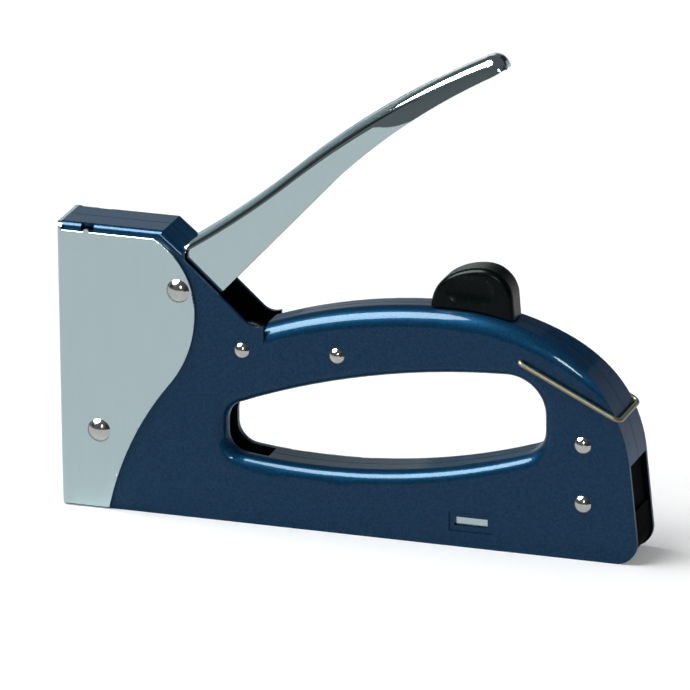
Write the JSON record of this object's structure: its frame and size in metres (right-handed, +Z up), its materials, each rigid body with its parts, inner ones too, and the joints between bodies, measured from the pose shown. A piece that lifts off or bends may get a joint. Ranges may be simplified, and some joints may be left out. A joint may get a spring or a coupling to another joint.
{
  "type": "staple gun",
  "caption": "Hand staple gun: lacquered sheet body with a finger hole, plated nose shield and long lever, sliding power knob, wire lock bail and a pull-out staple loader.",
  "frame": {"origin": "middle of the base, on the surface it stands on", "axes": "+X from the nose to the rear end, +Y across the body, +Z up from the base"},
  "size_m": [0.1748, 0.0222, 0.1467],
  "materials": {
    "blue_lacquer": "glossy metallic lacquer",
    "nickel_plate": "satin plating",
    "chrome_plate": "polished",
    "bright_steel": "bright",
    "spring_wire": "drawn wire",
    "brass_wire": "dull plating",
    "black_plastic": "fine grain",
    "black_rubber": "dull"
  },
  "bodies": {
    "frame": {"left_shell": "blue_lacquer", "right_shell": "blue_lacquer", "nose_shield": "nickel_plate", "lever_pivot_pin": "bright_steel", "nose_rivet": "bright_steel", "spring_pin": "bright_steel", "grip_rivet": "bright_steel", "rear_rivets": "bright_steel", "pivot_washers": "bright_steel", "lever_bush": "bright_steel", "nose_spacer": "bright_steel", "spring_sleeve": "bright_steel", "grip_spacer": "bright_steel", "rear_spacers": "bright_steel", "magazine_channel": "bright_steel", "driver_guide": "bright_steel", "striker_buffer": "black_rubber", "power_spring": "spring_wire", "lever_return_spring": "spring_wire"},
    "lever_body": {"lever": "chrome_plate", "pawl_pin": "bright_steel"},
    "pawl_body": {"lifter_pawl": "bright_steel"},
    "striker_body": {"striker": "bright_steel"},
    "power_slider": {"power_knob": "black_plastic", "power_carriage": "black_plastic", "knob_screw": "bright_steel"},
    "bail_body": {"lock_bail": "brass_wire"},
    "loader": {"staple_rail": "bright_steel", "loader_end": "black_plastic", "guide_rod": "bright_steel", "rail_pin": "bright_steel", "pusher_spring": "spring_wire"},
    "pusher_body": {"pusher": "bright_steel"}
  },
  "joints": [
    {"name": "lever_hinge", "type": "hinge", "parent": "frame", "child": "lever_body", "pos_m": [-0.05031, 0, 0.0693], "axis": [0, 1, 0], "range_deg": [0, 30], "stiffness_Nm_per_rad": 0.5, "springref_deg": -28.65, "deforming": ["lever_return_spring"]},
    {"name": "pawl_hinge", "type": "hinge", "parent": "lever_body", "child": "pawl_body", "pos_m": [-0.07736, 0, 0.06205], "axis": [0, 1, 0], "range_deg": [-30, 0]},
    {"name": "striker_slide", "type": "slide", "parent": "frame", "child": "striker_body", "axis": [0, 0, 1], "range_m": [0, 0.0146], "deforming": ["power_spring"]},
    {"name": "knob_slide", "type": "slide", "parent": "frame", "child": "power_slider", "axis": [1, 0, 0], "range_m": [0, 0.005]},
    {"name": "bail_hinge", "type": "hinge", "parent": "frame", "child": "bail_body", "pos_m": [0.05279, 0, 0.0582], "axis": [0, -1, 0], "range_deg": [0, 80]},
    {"name": "loader_slide", "type": "slide", "parent": "frame", "child": "loader", "axis": [1, 0, 0], "range_m": [0, 0.11]},
    {"name": "pusher_slide", "type": "slide", "parent": "loader", "child": "pusher_body", "axis": [1, 0, 0], "range_m": [0, 0.09], "stiffness_N_per_m": 10, "springref_m": -0.3, "deforming": ["pusher_spring"]}
  ],
  "couplings": [
    {"joint": "pawl_hinge", "follows": "lever_hinge", "ratio": -1},
    {"joint": "striker_slide", "follows": "lever_hinge", "m_per_rad": 0.02768}
  ]
}
